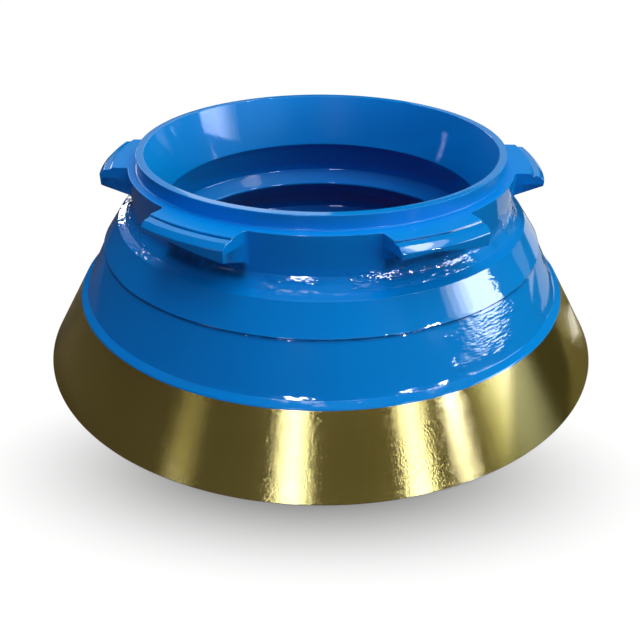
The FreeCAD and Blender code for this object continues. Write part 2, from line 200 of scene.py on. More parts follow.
# %% Collect grids and sew rings together
class CastSkin:
    """The points and faces of one closed skin, band by band."""

    def __init__(self):
        self.points, self.rough, self.faces, self.bare = [], [], [], []
        self.count = 0

    def add_band(self, angles, radii, heights, rough, bare):
        """A grid: each row a ring of points at radius times cosine and sine of its angle."""
        rows, columns = radii.shape
        spots = np.stack([radii * np.cos(angles), radii * np.sin(angles), heights], -1)
        numbers = self.count + np.arange(rows * columns).reshape(rows, columns)
        self.count += rows * columns
        self.points.append(spots.reshape(-1, 3))
        self.rough.append(rough.reshape(-1))
        following = np.roll(numbers, -1, axis=1)
        quads = np.stack([numbers[:-1], numbers[1:], following[1:], following[:-1]], -1)
        self.faces.append(quads.reshape(-1, 4))
        self.bare.append(np.full((rows - 1) * columns, bare))
        return numbers

    def sew(self, upper, upper_angles, lower, lower_angles):
        """Triangles between two rings, one for each point of either, in order of angle."""
        order = np.argsort(np.concatenate([upper_angles, lower_angles]), kind="stable")
        from_upper = order < len(upper)
        high = np.cumsum(from_upper) - 1
        low = np.cumsum(~from_upper) - 1
        before = np.where(from_upper, upper[high - 1], lower[low - 1])
        triangles = np.stack([
            np.where(from_upper, before, upper[high]),
            np.where(from_upper, lower[low], before),
            np.where(from_upper, upper[high], lower[low]),
        ], 1)
        self.faces.append(np.column_stack([triangles, triangles[:, 2]]))
        self.bare.append(np.zeros(len(triangles), bool))

    def merged(self, apart=1e-4):
        """Points and faces with points nearer than apart (mm) made one, and flat faces dropped."""
        points = np.concatenate(self.points)
        keys = np.round(points / apart).astype(np.int64)
        _, first, back = np.unique(keys, axis=0, return_index=True, return_inverse=True)
        faces = back.reshape(-1)[np.concatenate(self.faces)]
        repeats_next = faces == np.roll(faces, -1, axis=1)
        lists = [face[~repeats].tolist() for face, repeats in zip(faces, repeats_next)]
        whole = np.array([len(set(face)) == len(face) >= 3 for face in lists])
        lists = [face for face, fine in zip(lists, whole) if fine]
        return points[first], np.concatenate(self.rough)[first], lists, np.concatenate(self.bare)[whole]


# %% [markdown]
# ## The hooks
# Each hook is a wedge. Its ends are flat and parallel, its outer face is round, its
# top is turned with a land, a step, a lip and a chamfer, and underneath two
# screw-shaped ramps rise to a peak near one end, so that jaws turned under it pull
# the liner down. All of that can be said of one column of points at a time: at each
# angle the plan outline gives a radius, and no part of the column goes past it. So
# a column on the neck is a short one, a column through the hook is a long one, and
# the flat end is simply where the columns grow from one to the other.


# %% The plan outline of hooks and neck
def inside_plan(radii, angles):
    """Distance inside the outline of neck and hook together, in plan.

    The hook is where both hook radius minus r and half the width minus |y| are
    positive, with its corner rounded. The neck is neck radius minus r. The two
    are joined with a fillet: minus the fillet, plus the length of what each has
    over minus the fillet.
    """
    neck = neck_radius - radii
    outer = hook_radius - radii
    end = HOOK_WIDTH / 2 - np.abs(radii * np.sin(angles))
    corner = np.hypot(np.maximum(HOOK_END_ROUND - outer, 0), np.maximum(HOOK_END_ROUND - end, 0))
    hook = np.where(corner > 0, HOOK_END_ROUND - corner, np.minimum(outer, end))
    over_neck = np.maximum(HOOK_END_FILLET + neck, 0)
    over_hook = np.maximum(HOOK_END_FILLET + hook, 0)
    joined = np.hypot(over_neck, over_hook) - HOOK_END_FILLET
    near_both = (neck > -HOOK_END_FILLET) & (hook > -HOOK_END_FILLET)
    return np.where(near_both, joined, np.maximum(neck, hook))


def plan_outline(spacing, turn_per_point=24.0, samples=24001, halvings=40, smoothing=11):
    """Angles and radii of the outline's points over one sector, in radians and mm.

    The radius at an angle is found by halving the span in which the distance
    changes sign. Points are then spread so that length over spacing plus turning
    over turn_per_point grows by one from point to point.
    """
    half = math.radians(sector / 2)
    angles = np.linspace(-half, half, samples)
    low = np.full(samples, neck_radius - 1.0)
    high = np.full(samples, hook_radius + 1.0)
    for _ in range(halvings):
        middle = (low + high) / 2
        inside = inside_plan(middle, angles) > 0
        low, high = np.where(inside, middle, low), np.where(inside, high, middle)
    radii = (low + high) / 2
    x, y = radii * np.cos(angles), radii * np.sin(angles)
    steps = np.hypot(np.diff(x), np.diff(y))
    heading = np.unwrap(np.arctan2(np.diff(y), np.diff(x)))
    padded = np.pad(heading, smoothing // 2, mode="edge")
    smooth = np.convolve(padded, np.ones(smoothing) / smoothing, mode="valid")
    turning = np.abs(np.diff(smooth, prepend=smooth[0]))
    measure = np.concatenate([[0], np.cumsum(steps / spacing + turning / math.radians(turn_per_point))])
    count = math.ceil(measure[-1])
    spots = np.interp(np.arange(count) / count * measure[-1], measure, angles)
    return spots, np.interp(spots, angles, radii)


# %% The heights of a hook's top and underside
def hook_top(radii):
    """The turned top: flat land, then step, lip and chamfer, as straight runs of radius."""
    drops = np.cumsum([0, 0, TURNED_STEP_DROP, HOOK_LIP_DROP, HOOK_CHAMFER_DROP])
    return ledge_height - np.interp(radii, [0, land_radius, lip_radius, chamfer_radius, hook_radius], drops)


def ramp_fall(angles):
    """How far the underside has fallen from its peak, in straight runs of angle."""
    end = math.degrees(math.asin((HOOK_WIDTH / 2 + HOOK_END_FILLET) / neck_radius))
    thick = WEDGE_PITCH * (end - PEAK_ANGLE) / 360
    thin = LEAD_PITCH * (end + PEAK_ANGLE) / 360
    places = [-end, PEAK_ANGLE, end, sector - end]
    return np.interp(np.degrees(angles), places, [thin, 0, thick, thin], period=sector)


def hook_underside(radii, angles):
    """A slope that falls towards the neck and ends in the fillet's circle, less the ramps' fall."""
    slope = math.radians(HOOK_SLOPE)
    peak = ledge_height - HOOK_PEAK_HEIGHT
    line = peak - (hook_radius - radii) * math.tan(slope)
    fillet_radius = neck_radius + HOOK_FILLET
    centre = peak - (hook_radius - fillet_radius) * math.tan(slope) - HOOK_FILLET / math.cos(slope)
    inwards = np.clip(fillet_radius - radii, 0, HOOK_FILLET)
    circle = centre + np.sqrt(HOOK_FILLET**2 - inwards**2)
    in_fillet = radii < fillet_radius - HOOK_FILLET * math.sin(slope)
    return np.where(in_fillet, circle, line) - ramp_fall(angles)


# %% The rounds of a hook's edges
def edge_round(distance, rounding):
    """How far a quarter round has come away from the face at a distance from the edge."""
    left = np.clip(rounding - distance, 0, rounding)
    return rounding - np.sqrt(np.maximum(rounding**2 - left**2, 0))


def edge_reach(outline, angles, nearby=0.05, least_growth=0.18):
    """How much longer a round is along the radius than square to the outline.

    It is one over how fast the distance inside the outline grows along the
    radius: one on a hook's round face, and more towards its flat ends.
    """
    growth = (inside_plan(outline - nearby, angles) - inside_plan(outline, angles)) / nearby
    return 1 / np.clip(growth, least_growth, 1)


# %% Where the hook band starts and ends, its rows, and how rough turned faces and sand are
LEDGE_SEAM, NECK_SEAM = 1.5, 1.3
LEDGE_START = spigot_radius + SPIGOT_FILLET + LEDGE_SEAM
SHOULDER_TURN = math.radians(46.5)
NECK_FOOT = shoulder_top + NECK_FILLET * math.tan(SHOULDER_TURN / 2) + NECK_SEAM
LAND_ROWS, SLOPE_ROWS, FILLET_ROWS = 11, 9, 5
FACE_RUNS, NECK_RUNS = 12, 4
STEP_EDGE, SLOPE_MARGIN = 0.35, 6.0
QUARTER = np.radians([0, 30, 60, 90])[:, None]
TURNED, SAND = 0.06, 0.9


def top_rows(outline, angles, reach):
    """Radii and heights on top: the land, the step, lip and chamfer, and the edge's quarter round."""
    land = np.linspace(LEDGE_START, land_radius - STEP_EDGE, LAND_ROWS)
    turned = np.array([
        land_radius + STEP_EDGE, lip_radius - STEP_EDGE, lip_radius + STEP_EDGE,
        (lip_radius + chamfer_radius) / 2, chamfer_radius - STEP_EDGE, chamfer_radius + STEP_EDGE,
        (chamfer_radius + hook_radius) / 2,
    ])
    edge_width = HOOK_TOP_ROUND * reach
    inner = np.minimum(np.concatenate([land, turned])[:, None], outline - edge_width)
    radii = np.concatenate([inner, outline - edge_width * (1 - np.sin(QUARTER))])
    return radii, hook_top(radii) - edge_round(inside_plan(radii, angles), HOOK_TOP_ROUND)


def bottom_rows(outline, angles, reach):
    """Radii and heights underneath: the edge's quarter round, the slope, and the fillet to the neck."""
    edge_width = HOOK_FOOT_ROUND * reach
    edge = np.maximum(outline - edge_width * (1 - np.cos(QUARTER)), neck_radius)
    slope = np.linspace(hook_radius - SLOPE_MARGIN, neck_radius + HOOK_FILLET, SLOPE_ROWS)
    fillet_turn = np.radians(np.linspace(HOOK_SLOPE, 90, FILLET_ROWS))
    fillet = neck_radius + HOOK_FILLET * (1 - np.sin(fillet_turn))
    inner = np.concatenate([slope, fillet])[:, None]
    inner = np.minimum(inner, np.maximum(outline - edge_width, neck_radius))
    radii = np.concatenate([edge, inner])
    return radii, hook_underside(radii, angles) + edge_round(inside_plan(radii, angles), HOOK_FOOT_ROUND)


# %% The band with the hooks and the neck
def hook_band(spacing):
    """Angles, and for every column the radius, height and roughness of each of its rows."""
    sector_angles, sector_radii = plan_outline(spacing)
    turns = np.repeat(np.arange(HOOK_COUNT), len(sector_angles)) * math.radians(sector)
    local = np.tile(sector_angles, HOOK_COUNT)
    outline = np.tile(sector_radii, HOOK_COUNT)
    reach = edge_reach(outline, local)
    top, top_height = top_rows(outline, local, reach)
    bottom, bottom_height = bottom_rows(outline, local, reach)

    share = np.linspace(0, 1, FACE_RUNS + 1)[1:-1, None]
    face_height = top_height[-1] + (bottom_height[0] - top_height[-1]) * share
    face = np.broadcast_to(outline, face_height.shape)
    share = np.linspace(0, 1, NECK_RUNS + 1)[1:, None]
    neck_height = bottom_height[-1] + (NECK_FOOT - bottom_height[-1]) * share
    neck = np.full(neck_height.shape, neck_radius)

    outer_face = np.clip((outline - chamfer_radius) / HOOK_CHAMFER_WIDTH, 0, 1)
    face_rough = np.broadcast_to(0.8 - 0.6 * outer_face, face.shape)
    radii = np.concatenate([top, face, bottom, neck])
    heights = np.concatenate([top_height, face_height, bottom_height, neck_height])
    rough = np.concatenate([
        np.full(top.shape, TURNED), face_rough, np.full(bottom.shape, SAND), np.full(neck.shape, SAND),
    ])
    return local + turns, radii, heights, rough


# %% [markdown]
# ## The four bands
# The chamber, the outside and the bare seat are the same section at every angle, so
# a list of corners is all that they need. Roughness is nought on bare steel, small
# on turned faces and about one on sand, and it later scales both the relief and
# the wrinkles of the paint.

# %% Corners of the three plain sections
CHAMBER_ROUNDS = [1.8, 2.5, 3.0, 4.0, 5.0, 4.0, 5.0]
MOUTH_FROM, MOUTH_ROUGH, CHAMBER_ROUGH = 300.0, 0.12, 0.5
LEDGE_GAP, NECK_GAP = 0.4, 0.6
PAINT_EDGE = 1.5

chamber_section = [(BASE_RADIUS - BASE_LAND, 0.0, 0, 14.0, 0.6)]
for (radius, height), rounding in list(zip(chamber_corners, CHAMBER_ROUNDS))[::-1]:
    chamber_rough = MOUTH_ROUGH if height > MOUTH_FROM else CHAMBER_ROUGH
    chamber_section.append((radius, height, rounding, 11.0, chamber_rough))
chamber_section += [
    (spigot_radius, rim_height, 1.5, 7.0, TURNED),
    (spigot_radius, ledge_height, SPIGOT_FILLET, 2.0, TURNED),
    (LEDGE_START - LEDGE_GAP, ledge_height, 0, 0, TURNED),
]
paint_end = (seat_top_radius + PAINT_EDGE, SEAT_HEIGHT - PAINT_EDGE / math.tan(math.radians(SEAT_ANGLE)))
outside_section = [
    (neck_radius, NECK_FOOT - NECK_GAP, 0, 5.0, SAND),
    (neck_radius, shoulder_top, NECK_FILLET, 5.0, 1.1),
    (shoulder_foot_radius, shoulder_foot, 2.0, 5.0, 0.12),
    (upper_seat_top_radius, upper_seat_top, 1.0, 8.0, TURNED),
    (upper_seat_radius, relief_top, 1.6, 2.0, 1.6),
    (relief_top_radius, relief_top, 1.2, 5.6, 1.0),
    (relief_foot_radius, relief_foot, 1.4, 5.0, 0.2),
    (seat_top_radius, SEAT_HEIGHT, 0.9, 20.0, 0.0),
    (*paint_end, 0, 0, 0.0),
]
bare_section = [
    (*paint_end, 0, 22.0, 0.0),
    (BASE_RADIUS, 0.0, 1.4, 40.0, 0.0),
    (BASE_RADIUS - 6.0, 0.0, 0, 0, 0.0),
]
print("corners: chamber %d, outside %d, bare seat %d" % (
    len(chamber_section), len(outside_section), len(bare_section)))

# %% Sew the bands
CHAMBER_COLUMNS, OUTSIDE_COLUMNS, SEAT_COLUMNS = 336, 570, 480
HOOK_SPACING = 4.8


def ring_band(section, columns):
    """The same section at every angle, from half a sector before the first hook once round."""
    angles = np.radians(-sector / 2 + np.arange(columns) * 360.0 / columns)
    return angles, *(np.repeat(values[:, None], columns, 1) for values in rounded_section(section))


bare_band = ring_band(bare_section, SEAT_COLUMNS)
bands = [
    ring_band(chamber_section, CHAMBER_COLUMNS), hook_band(HOOK_SPACING),
    ring_band(outside_section, OUTSIDE_COLUMNS), bare_band,
]
casting = CastSkin()
rings = [casting.add_band(*band, bare=band is bare_band) for band in bands]
for place, ring in enumerate(rings):
    following = (place + 1) % len(rings)
    casting.sew(ring[-1], bands[place][0], rings[following][0], bands[following][0])
points, rough, faces, bare = casting.merged()
print("skin: %d points, %d faces" % (len(points), len(faces)))

# %% [markdown]
# ## The skin of a sand casting
# Sand leaves low swellings a few centimetres across and a finer crust on top. A
# regular texture would show its repeat on a ring this long, so the swellings are a
# sum of waves in random directions: their lengths all lie near one size, and they
# never line up twice. They move the points along their normals, in real depth.

# %% Swellings as a sum of waves
SEED = 11
BROAD_DEPTH, LUMP_DEPTH, GRAIN_DEPTH, RIDGE_DEPTH = 0.22, 0.10, 0.08, 0.04
FILLED_SHARE = 0.12


def swell(points, wavelength, seed, waves=48):
    """Cosines of position times random directions over the wavelength, summed to a spread of one."""
    generator = np.random.default_rng(seed)
    directions = generator.normal(size=(3, waves))
    directions /= np.linalg.norm(directions, axis=0)
    lengths = wavelength * generator.uniform(0.75, 1.35, waves)
    phases = generator.uniform(0, 2 * math.pi, waves)
    total = np.cos(points @ (directions * (2 * math.pi / lengths)) + phases).sum(1)
    return total * math.sqrt(2 / waves)


def cast_relief(points, crust):
    """Depth in mm where the roughness is one: broad swellings, and finer ones where crust is one."""
    broad = swell(points, 120.0, SEED)
    lumps = swell(points, 42.0, SEED + 1)
    grains = swell(points, 17.0, SEED + 2)
    ridges = 1 - np.abs(swell(points, 30.0, SEED + 3))
    fine = LUMP_DEPTH * lumps + GRAIN_DEPTH * grains + RIDGE_DEPTH * ridges
    return BROAD_DEPTH * broad + fine * (FILLED_SHARE + (1 - FILLED_SHARE) * crust)


# %% [markdown]
# ## Where the crust shows
# The brush filled most of the skin, so the paint is smooth there, and the sand's
# crust shows only in patches. Each patch is a range of angle and height with an
# edge that wanders. The ones in the photograph have their own places. The others
# are drawn at random round the sides and the back.

# %% Patches: middle and half width in degrees from the front, lowest and highest height in mm, strength
SEEN_PATCHES = [
    (37, 9, 160, 232, 0.45), (45, 6, 205, 232, 0.4), (27, 19, 290, 326, 1), (33, 14, 290, 318, 1),
    (-6, 9, 291, 296, 1), (-6, 8, 308, 313, 1), (-77, 17, 286, 345, 1), (-55, 6, 286, 302, 1),
    (44, 3, 240, 290, 0.6), (-9, 9, 143.5, 147, 0.4), (20, 12, 143.5, 147, 0.4), (10, 24, 234, 241, 1),
    (72, 12, 300, 345, 1),
]
RELIEF_PATCH_ANGLES = (95, 150, 200, 255)
NECK_PATCH_ANGLES = (85, 125, 170, 215, 260)
patch_dice = np.random.default_rng(SEED)


def scattered_patches(angles, half_widths, low, highs, strength):
    """A patch near each angle, its middle, half width and highest height drawn in that order."""
    return [
        (angle + patch_dice.uniform(-8, 8), patch_dice.uniform(*half_widths), low,
         patch_dice.uniform(*highs), strength)
        for angle in angles
    ]


unseen_patches = scattered_patches(RELIEF_PATCH_ANGLES, (7, 14), 155, (200, 232), 0.6)
unseen_patches += scattered_patches(NECK_PATCH_ANGLES, (6, 15), 289, (310, 335), 1)
print("patches of crust: %d seen, %d unseen" % (len(SEEN_PATCHES), len(unseen_patches)))

# %% Where a point lies, seen from the photograph's side, which is turned a little from -y
CAMERA_TURN = 2.0


def ramp(values, low, high):
    """Nought below low, one above high, and the smooth cubic 3t^2 - 2t^3 between."""
    share = np.clip((values - low) / (high - low), 0, 1)
    return share * share * (3 - 2 * share)


def places_of(points):
    """Each point's radius, its height, and its angle to the right of the photograph's side in degrees."""
    from_front = np.degrees(np.arctan2(points[:, 1], points[:, 0])) + 90 - CAMERA_TURN
    return np.hypot(points[:, 0], points[:, 1]), points[:, 2], from_front


def turns_aside(from_front, middle, half_width):
    """How many half widths an angle lies from a middle, the short way round."""
    return np.abs((from_front - middle + 180) % 360 - 180) / half_width


# %% How much crust each point shows
CRUST_WANDER, CRUST_SOFT = 0.22, 5.0


def crust_cover(points):
    """The largest of the patches, each a product of ramps, on the outside alone."""
    radii, heights, from_front = places_of(points)
    wander = swell(points, 45.0, SEED + 7)
    cover = np.zeros(len(points))
    for middle, half_width, low, high, strength in SEEN_PATCHES + unseen_patches:
        aside = turns_aside(from_front, middle, half_width)
        across = ramp(1.0 - aside + CRUST_WANDER * wander, -0.15, 0.35)
        soft = min(CRUST_SOFT, (high - low) / 2)
        upright = ramp(heights - low + wander, -soft, soft) * ramp(high - heights + wander, -soft, soft)
        cover = np.maximum(cover, strength * across * upright)
    return cover * (radii > neck_radius - 1)


# %% [markdown]
# ## Where the paint is dull, and where shade is painted
# Gloss paint is not equally glossy everywhere. On the spigot, on the turned lands, in
# the mouth and in the fillets it dried nearer to satin. Under the hooks, under the
# upper seat and at the foot of a step, painted shade darkens the blue where shadow
# falls. Masks painted by hand would be lost with each change of the mesh, so these
# are worked out from where a point is on the section, and stored on the mesh for the
# material to read.

# %% Masks of painted shade and of dull paint
# Strengths of the painted shade under the upper seat, at the foot of the turned step and under the hooks
UNDER_SEAT_PAINTED_SHADE, STEP_PAINTED_SHADE, HOOK_PAINTED_SHADE = 0.5, 1.0, 0.76
LAND_SATIN, MOUTH_SATIN, FILLET_SATIN, HOOK_SATIN = 0.88, 0.55, 0.35, 0.85
SHADE_END, SHADE_SOFT = 0.4, 1.2
SHADE_FROM, SHADE_FULL, SHADE_TOP = 4.0, 14.0, 22.0


def under_hooks(points):
    """One in the corner between neck, shoulder and hook, by ramps of angle and height."""
    radii, heights, _ = places_of(points)
    degrees = np.degrees(np.arctan2(points[:, 1], points[:, 0]))
    from_middle = np.abs((degrees + sector / 2) % sector - sector / 2)
    hook_end = math.degrees(HOOK_WIDTH / 2 / neck_radius)
    along = ramp(hook_end - SHADE_END - from_middle, -SHADE_SOFT, SHADE_SOFT)
    upright = ramp(heights, shoulder_foot + SHADE_FROM, shoulder_foot + SHADE_FULL)
    inside = (radii < hook_radius - 2) & (radii > neck_radius - 1) & (heights < ledge_height - SHADE_TOP)
    return along * upright * inside


def painted_shade_in_corners(points):
    """How much painted shade darkens the inner corners: under the upper seat, at the turned step and under
    the hooks.
    """
    radii, heights, _ = places_of(points)
    under_seat = (np.abs(radii - relief_top_radius) < 3.5) & (np.abs(heights - relief_top) < 2.5)
    step_foot = (radii > land_radius + 1) & (radii < lip_radius) & (np.abs(heights - ledge_height + 3) < 2)
    return UNDER_SEAT_PAINTED_SHADE * under_seat + STEP_PAINTED_SHADE * step_foot + HOOK_PAINTED_SHADE * under_hooks(points)


def satin_cover(points, crust):
    """How far the paint dried satin: spigot and land, mouth, and corners and fillets without crust."""
    radii, heights, _ = places_of(points)
    land = (heights > ledge_height - 1) & (radii > spigot_radius - 1) & (radii < land_radius + 0.6)
    mouth = (radii < mouth_radius + 0.5) & (heights < rim_height - 1) & (heights > 1)
    fillet = (heights > shoulder_foot - 3) & (heights < NECK_FOOT + 12) & (radii > neck_radius - 1)
    corner = np.maximum(fillet * FILLET_SATIN, under_hooks(points) * HOOK_SATIN)
    return land * LAND_SATIN + mouth * MOUTH_SATIN + corner * (1 - np.clip(1.3 * crust, 0, 1))


# %% [markdown]
# ## Oil and a painted dark reflection on the bare seat
# The bare seat is wiped with oil against rust, and oil dries in darker upright
# smears. Beyond its bright patch on the right the photograph shows the seat dark,
# where the steel mirrors the dark studio. A mirrored dark place would need the lamps
# to leave one, so the first smear is a painted reflection that stands for it here,
# and weaker oil smears go with it round the back.

# %% Smears: middle and half width in degrees from the front, strength
# The first smear is a painted dark reflection; the weaker ones are oil
PAINTED_REFLECTION_AND_OIL_SMEARS = [(53, 13, 0.75), (118, 9, 0.3), (176, 14, 0.35), (231, 10, 0.3), (286, 8, 0.25)]
SMEAR_SLANT, SMEAR_WANDER = 8.0, 0.06


def painted_reflection_and_oil_cover(points):
    """The strongest smear at each point: a ramp to either side of a middle that slants with height."""
    _, heights, from_front = places_of(points)
    wander = swell(points, 160.0, SEED + 9)
    cover = np.zeros(len(points))
    for middle, half_width, strength in PAINTED_REFLECTION_AND_OIL_SMEARS:
        slanted = middle - SMEAR_SLANT * (1 - heights / SEAT_HEIGHT)
        aside = turns_aside(from_front, slanted, half_width)
        cover = np.maximum(cover, strength * ramp(1.0 - aside + SMEAR_WANDER * wander, 0.0, 0.35))
    return cover


# %% [markdown]
# ## The casting itself
# The points now go into a mesh in metres, move along their normals by the relief,
# and carry the masks as attributes. Faces of the bare seat take the second
# material. Even normals keep the large cones smooth beside their narrow rounds.

# %% Put the skin into a mesh and move it by the relief
CRUST_LEAST, CRUST_LIFTS_SHADE = 0.3, 0.7

casting_mesh = bpy.data.meshes.new("liner_casting")
casting_mesh.from_pydata((points * MM).tolist(), [], faces)
casting_mesh.polygons.foreach_set("use_smooth", np.ones(len(faces), bool))
casting_mesh.update()
normals = np.empty(len(points) * 3, np.float32)
casting_mesh.vertex_normals.foreach_get("vector", normals)

crust = crust_cover(points) * np.minimum(rough + CRUST_LEAST, 1)
masks = {
    "sand_skin": rough,
    "crust": crust,
    # Painted shade in the inner corners, weaker where crust shows
    "painted_corner_shade": painted_shade_in_corners(points) * (1 - CRUST_LIFTS_SHADE * crust),
    "satin": satin_cover(points, crust),
    # Oil smears, and on the right of the bare seat a painted dark reflection
    "oil_and_painted_reflection": painted_reflection_and_oil_cover(points),
}
depth = cast_relief(points, crust) * rough
points = points + normals.reshape(-1, 3) * depth[:, None]
points[:, 2] = np.clip(points[:, 2], 0, rim_height)
casting_mesh.vertices.foreach_set("co", (points * MM).astype(np.float32).reshape(-1))
casting_mesh.update()
print("relief: from %.2f to %.2f mm, crust on %.0f%% of the points" % (
    depth.min(), depth.max(), 100 * (crust > 0.1).mean()))

# %% Store the masks, link the piece, hide the imported concave and even its normals
for layer_name, values in masks.items():
    layer = casting_mesh.attributes.new(layer_name, "FLOAT", "POINT")
    layer.data.foreach_set("value", values.astype(np.float32))
casting_mesh.polygons.foreach_set("material_index", bare.astype(np.int32))
liner = bpy.data.objects.new("liner_casting", casting_mesh)
bpy.context.scene.collection.objects.link(liner)
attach(liner, "root")
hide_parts("concave")
evening = liner.modifiers.new("even_normals", "WEIGHTED_NORMAL")
evening.keep_sharp = True
casting_mesh.calc_loop_triangles()
print("liner casting: %d triangles" % len(casting_mesh.loop_triangles))


# %% [markdown]
# ## Writing shader maths as plain sums
# A pattern is easier to read as a sum than as a dozen linked boxes. This small
# class wraps one output of a node, and each operator on it adds the Math node
# that does the same thing. Every node comes from a single method of the finish.


# %% Wires that can be added and multiplied
class Wire:
    """One output socket, which Python's operators turn into Math nodes."""

    def __init__(self, finish, socket):
        self.finish, self.socket = finish, socket

    def combine(self, operation, first, second):
        """A Math node with this operation on these two values, in order."""
        return self.finish.node("Math", settings={"operation": operation}, _0=first, _1=second)

    def __add__(self, other):
        return self.combine("ADD", self, other)

    def __radd__(self, other):
        return self.combine("ADD", other, self)

    def __sub__(self, other):
        return self.combine("SUBTRACT", self, other)

    def __rsub__(self, other):
        return self.combine("SUBTRACT", other, self)

    def __mul__(self, other):
        return self.combine("MULTIPLY", self, other)

    def __rmul__(self, other):
        return self.combine("MULTIPLY", other, self)

    def between(self, low, high):
        """Nought below low, one above high and a soft ramp from one to the other."""
        settings = {"interpolation_type": "SMOOTHSTEP"}
        return self.finish.node("MapRange", settings=settings, Value=self, From_Min=low, From_Max=high)


# %% A finish: a material and the one method that adds its nodes
class Finish:
    """A material, its Principled shader and short names for the nodes used here."""

    def __init__(self, name):
        self.material = bpy.data.materials.new(name)
        self.material.use_nodes = True
        self.tree = self.material.node_tree
        self.shader = self.tree.nodes["Principled BSDF"]

    def feed(self, node, sockets):
        """Set a node's sockets to values, or link wires to them. _0 is its first socket."""
        for name, value in sockets.items():
            key = int(name[1:]) if name[1:].isdigit() else name.replace("_", " ")
            socket = node.inputs[key]
            if isinstance(value, Wire):
                self.tree.links.new(value.socket, socket)
            else:
                socket.default_value = value

    def node(self, kind, output=0, settings=None, **sockets):
        """Any node: its settings first, then its sockets' values or links. Gives one output."""
        node = self.tree.nodes.new("ShaderNode" + kind)
        for name, value in (settings or {}).items():
            setattr(node, name, value)
        self.feed(node, sockets)
        return Wire(self, node.outputs[output])

    def shine(self, **sockets):
        """Set sockets of the Principled shader, and give its surface."""
        self.feed(self.shader, sockets)
        return Wire(self, self.shader.outputs["BSDF"])

    def finish_with(self, surface):
        """Make this shader the material's surface."""
        self.feed(self.tree.nodes["Material Output"], {"Surface": surface})

    def mask(self, name):
        """One of the masks stored on the mesh."""
        return self.node("Attribute", output="Fac", settings={"attribute_name": name})

    def place(self):
        """Object coordinates, in metres."""
        return self.node("TexCoord", output="Object")

    def stretched(self, across, up):
        """Object coordinates with x and y times across and z times up."""
        return self.change("MULTIPLY", self.place(), (across, across, up))

    def change(self, operation, vector, by):
        """A vector with this operation done to it by three numbers."""
        return self.node("VectorMath", settings={"operation": operation}, _0=vector, _1=by)

    def cloud(self, vector, scale=1.0, detail=2.0):
        """Noise from nought to one."""
        return self.node("TexNoise", Vector=vector, Scale=scale, Detail=detail)

    def tint(self, factor, first, second):
        """A colour between two, each three numbers or a wire, by a factor."""
        ends = [colour if isinstance(colour, Wire) else (*colour, 1) for colour in (first, second)]
        return self.node("Mix", output=2, settings={"data_type": "RGBA"}, _0=factor, _6=ends[0], _7=ends[1])

    def relief(self, height, depth):
        """A Bump node: height from nought to one stands this many metres."""
        return self.node("Bump", Height=height, Distance=depth, Strength=1.0)


# %% [markdown]
# ## Blue paint
# The paint is a thick gloss coat, brushed or sprayed straight over the sand skin,
# so it is smooth where the steel was turned and wrinkled where it was not. One
# material serves both: the mesh carries how rough the skin is, and that mask
# scales the fine relief. Where the paint dried satin, a second, duller shader of
# the same blue is mixed in, because gloss that is only made rougher keeps all of
# its mirrored light and would look milky.

# %% Blue paint
# The third blue is the painted shade of the inner corners, not a colour of the paint
CLEAN_BLUE, DEEP_BLUE, PAINTED_SHADE_BLUE = (0.0, 0.220, 0.82), (0.0, 0.235, 0.86), (0.0, 0.03, 0.15)
PEEL_SHARE, TURNING_SHARE = 0.02, 0.004
WRINKLE_DEPTH = 0.0026


def paint_height(paint):
    """Wrinkles where the crust shows, a little orange peel all over, and tool lines where it is turned."""
    place = paint.place()
    wrinkles = paint.cloud(paint.stretched(70.0, 250.0), detail=1.0)
    thick = paint.cloud(place, 30.0, detail=1.0).between(0.25, 0.65)
    peel = paint.cloud(place, 75.0, detail=1.0)
    turning = paint.cloud(paint.stretched(4.0, 420.0), detail=1.0)
    turned_here = 1 - paint.mask("sand_skin").between(0.25, 0.9)
    crusty = wrinkles * paint.mask("crust") * (0.35 + 0.65 * thick)
    return crusty + peel * PEEL_SHARE + turning * turned_here * TURNING_SHARE


def blue_paint():
    """Gloss paint over sand skin and turned steel, satin where its mask says so."""
    paint = Finish("blue_paint")
    place = paint.place()
    clean = paint.tint(paint.cloud(place, 3.5).between(0.3, 0.7), CLEAN_BLUE, DEEP_BLUE)
    # Painted shade: the corner mask, made patchy by a cloud, darkens the blue towards navy
    shade_patchiness = paint.cloud(place, 60.0).between(0.2, 0.6)
    colour = paint.tint(paint.mask("painted_corner_shade") * (0.55 + 0.45 * shade_patchiness), clean, PAINTED_SHADE_BLUE)
    bumps = paint.relief(paint_height(paint), WRINKLE_DEPTH)
    gloss = paint.shine(Base_Color=colour, Roughness=0.06, IOR=2.0, Normal=bumps)
    dull = paint.node("BsdfPrincipled", Base_Color=colour, Roughness=0.35, IOR=1.25, Normal=bumps)
    paint.finish_with(paint.node("MixShader", _0=paint.mask("satin"), _1=gloss, _2=dull))
    print("blue paint: %d nodes" % len(paint.tree.nodes))
    return paint.material


# %% [markdown]
# ## The bare turned seat
# The lower seat is turned and left bare under oil. The tool leaves fine grooves
# round the cone, so light spreads up and down across them but hardly sideways, and
# each lamp becomes a tall streak. That is what anisotropy does, and the fine grain
# in the relief breaks the streak's edges. The mask of oil and of a painted dark
# reflection darkens the smears.

# %% Bare turned seat
BRIGHT_STEEL, STAINED_STEEL, PAINTED_REFLECTION_AND_OIL_STEEL = (0.56, 0.47, 0.135), (0.46, 0.375, 0.10), (0.09, 0.085, 0.02)
GRAIN_RELIEF = 0.00015


